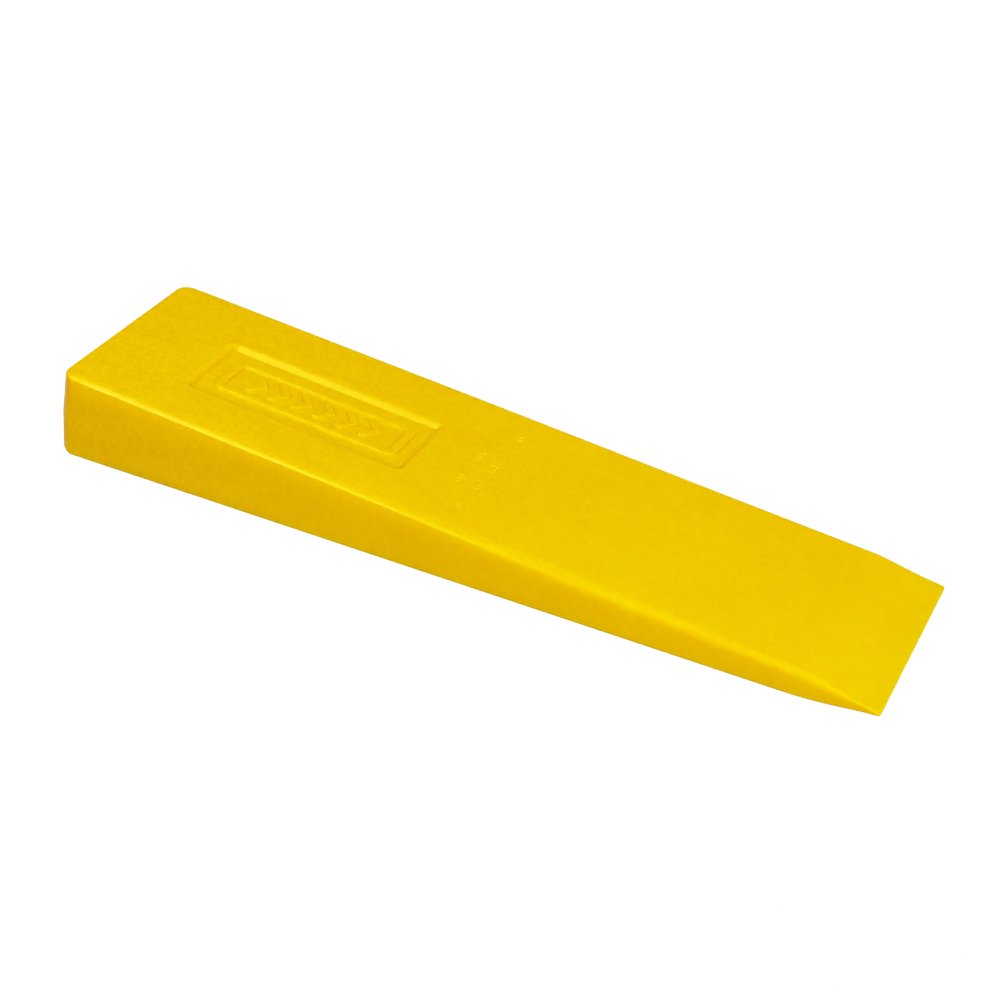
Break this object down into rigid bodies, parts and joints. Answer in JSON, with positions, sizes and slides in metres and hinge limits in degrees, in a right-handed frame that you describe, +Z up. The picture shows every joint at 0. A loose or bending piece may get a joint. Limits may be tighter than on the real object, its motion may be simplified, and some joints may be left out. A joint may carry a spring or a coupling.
{
  "type": "felling wedge",
  "caption": "Solid moulded plastic wedge with a thick square-cornered strike end, flat broad faces and a thin bevelled tip, driven into a saw kerf to tip a tree.",
  "frame": {"origin": "middle of the footprint, on the plane of the underside that the wedge rests on", "axes": "+Z up, square to the underside; +X from the strike end to the tip; +Y across the wedge's width"},
  "size_m": [0.254, 0.0692, 0.0271],
  "materials": {
    "body_plastic": "satin"
  },
  "bodies": {
    "root": {"wedge_body": "body_plastic"}
  },
  "joints": []
}
